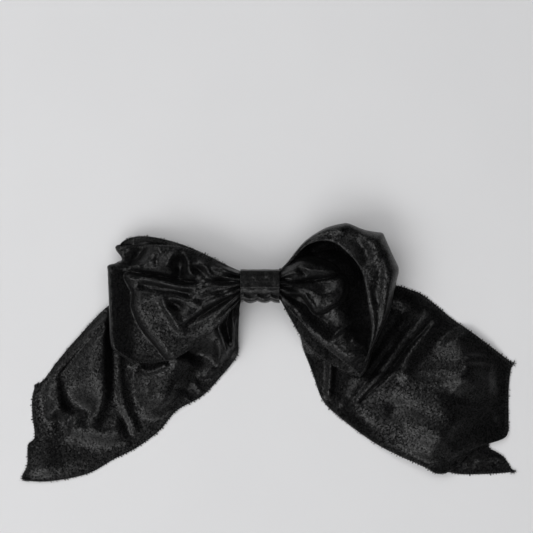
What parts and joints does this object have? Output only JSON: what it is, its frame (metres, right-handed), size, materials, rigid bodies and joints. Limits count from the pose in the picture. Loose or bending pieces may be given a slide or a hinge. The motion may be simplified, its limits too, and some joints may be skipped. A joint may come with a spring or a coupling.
{
  "type": "hair bow",
  "caption": "Black velvet ribbon bow with puffed loops, spread tails and a knot band, sewn to a sprung steel barrette with a hinged arm and squeeze catch.",
  "frame": {"origin": "middle of the clip arm's flat underside, straight behind the knot", "axes": "+X along the clip and the loops, +Y towards the loops' upper edges and away from the tails, +Z out through the knot, so the bow lies on its back on z = 0"},
  "size_m": [0.3194, 0.1682, 0.0394],
  "materials": {
    "velvet": "black velvet ribbon with a short glossy pile",
    "thread": "black spun sewing thread",
    "steel": "bright nickel-plated sheet steel"
  },
  "bodies": {
    "bow": {"clip_plate": "steel", "hinge_pin": "steel", "tension_leaf": "steel", "catch_base": "steel", "catch_rivet": "steel", "knot_band": "velvet", "cinch_thread": "thread", "plate_stitch_left": "thread", "plate_stitch_right": "thread", "left_tail": "velvet", "left_tail_hem": "thread", "left_loop": "velvet", "left_loop_low_hem": "thread", "left_loop_high_hem": "thread", "right_tail": "velvet", "right_tail_hem": "thread", "right_loop": "velvet", "right_loop_low_hem": "thread", "right_loop_high_hem": "thread"},
    "arm": {"clip_arm": "steel"},
    "tab_front": {"catch_tab_front": "steel"},
    "tab_back": {"catch_tab_back": "steel"}
  },
  "joints": [
    {"name": "arm_hinge", "type": "hinge", "parent": "bow", "child": "arm", "pos_m": [-0.037, 0, 0.004], "axis": [0, 1, 0], "range_deg": [0, 85]},
    {"name": "tab_squeeze", "type": "hinge", "parent": "bow", "child": "tab_front", "pos_m": [0.0365, -0.0031, 0.0091], "axis": [1, 0, 0], "range_deg": [0, 4], "stiffness_Nm_per_rad": 0.02},
    {"name": "tab_back_squeeze", "type": "hinge", "parent": "bow", "child": "tab_back", "pos_m": [0.0365, 0.0031, 0.0091], "axis": [-1, 0, 0], "range_deg": [0, 4], "stiffness_Nm_per_rad": 0.02}
  ],
  "couplings": [
    {"joint": "tab_back_squeeze", "follows": "tab_squeeze", "ratio": 1}
  ]
}
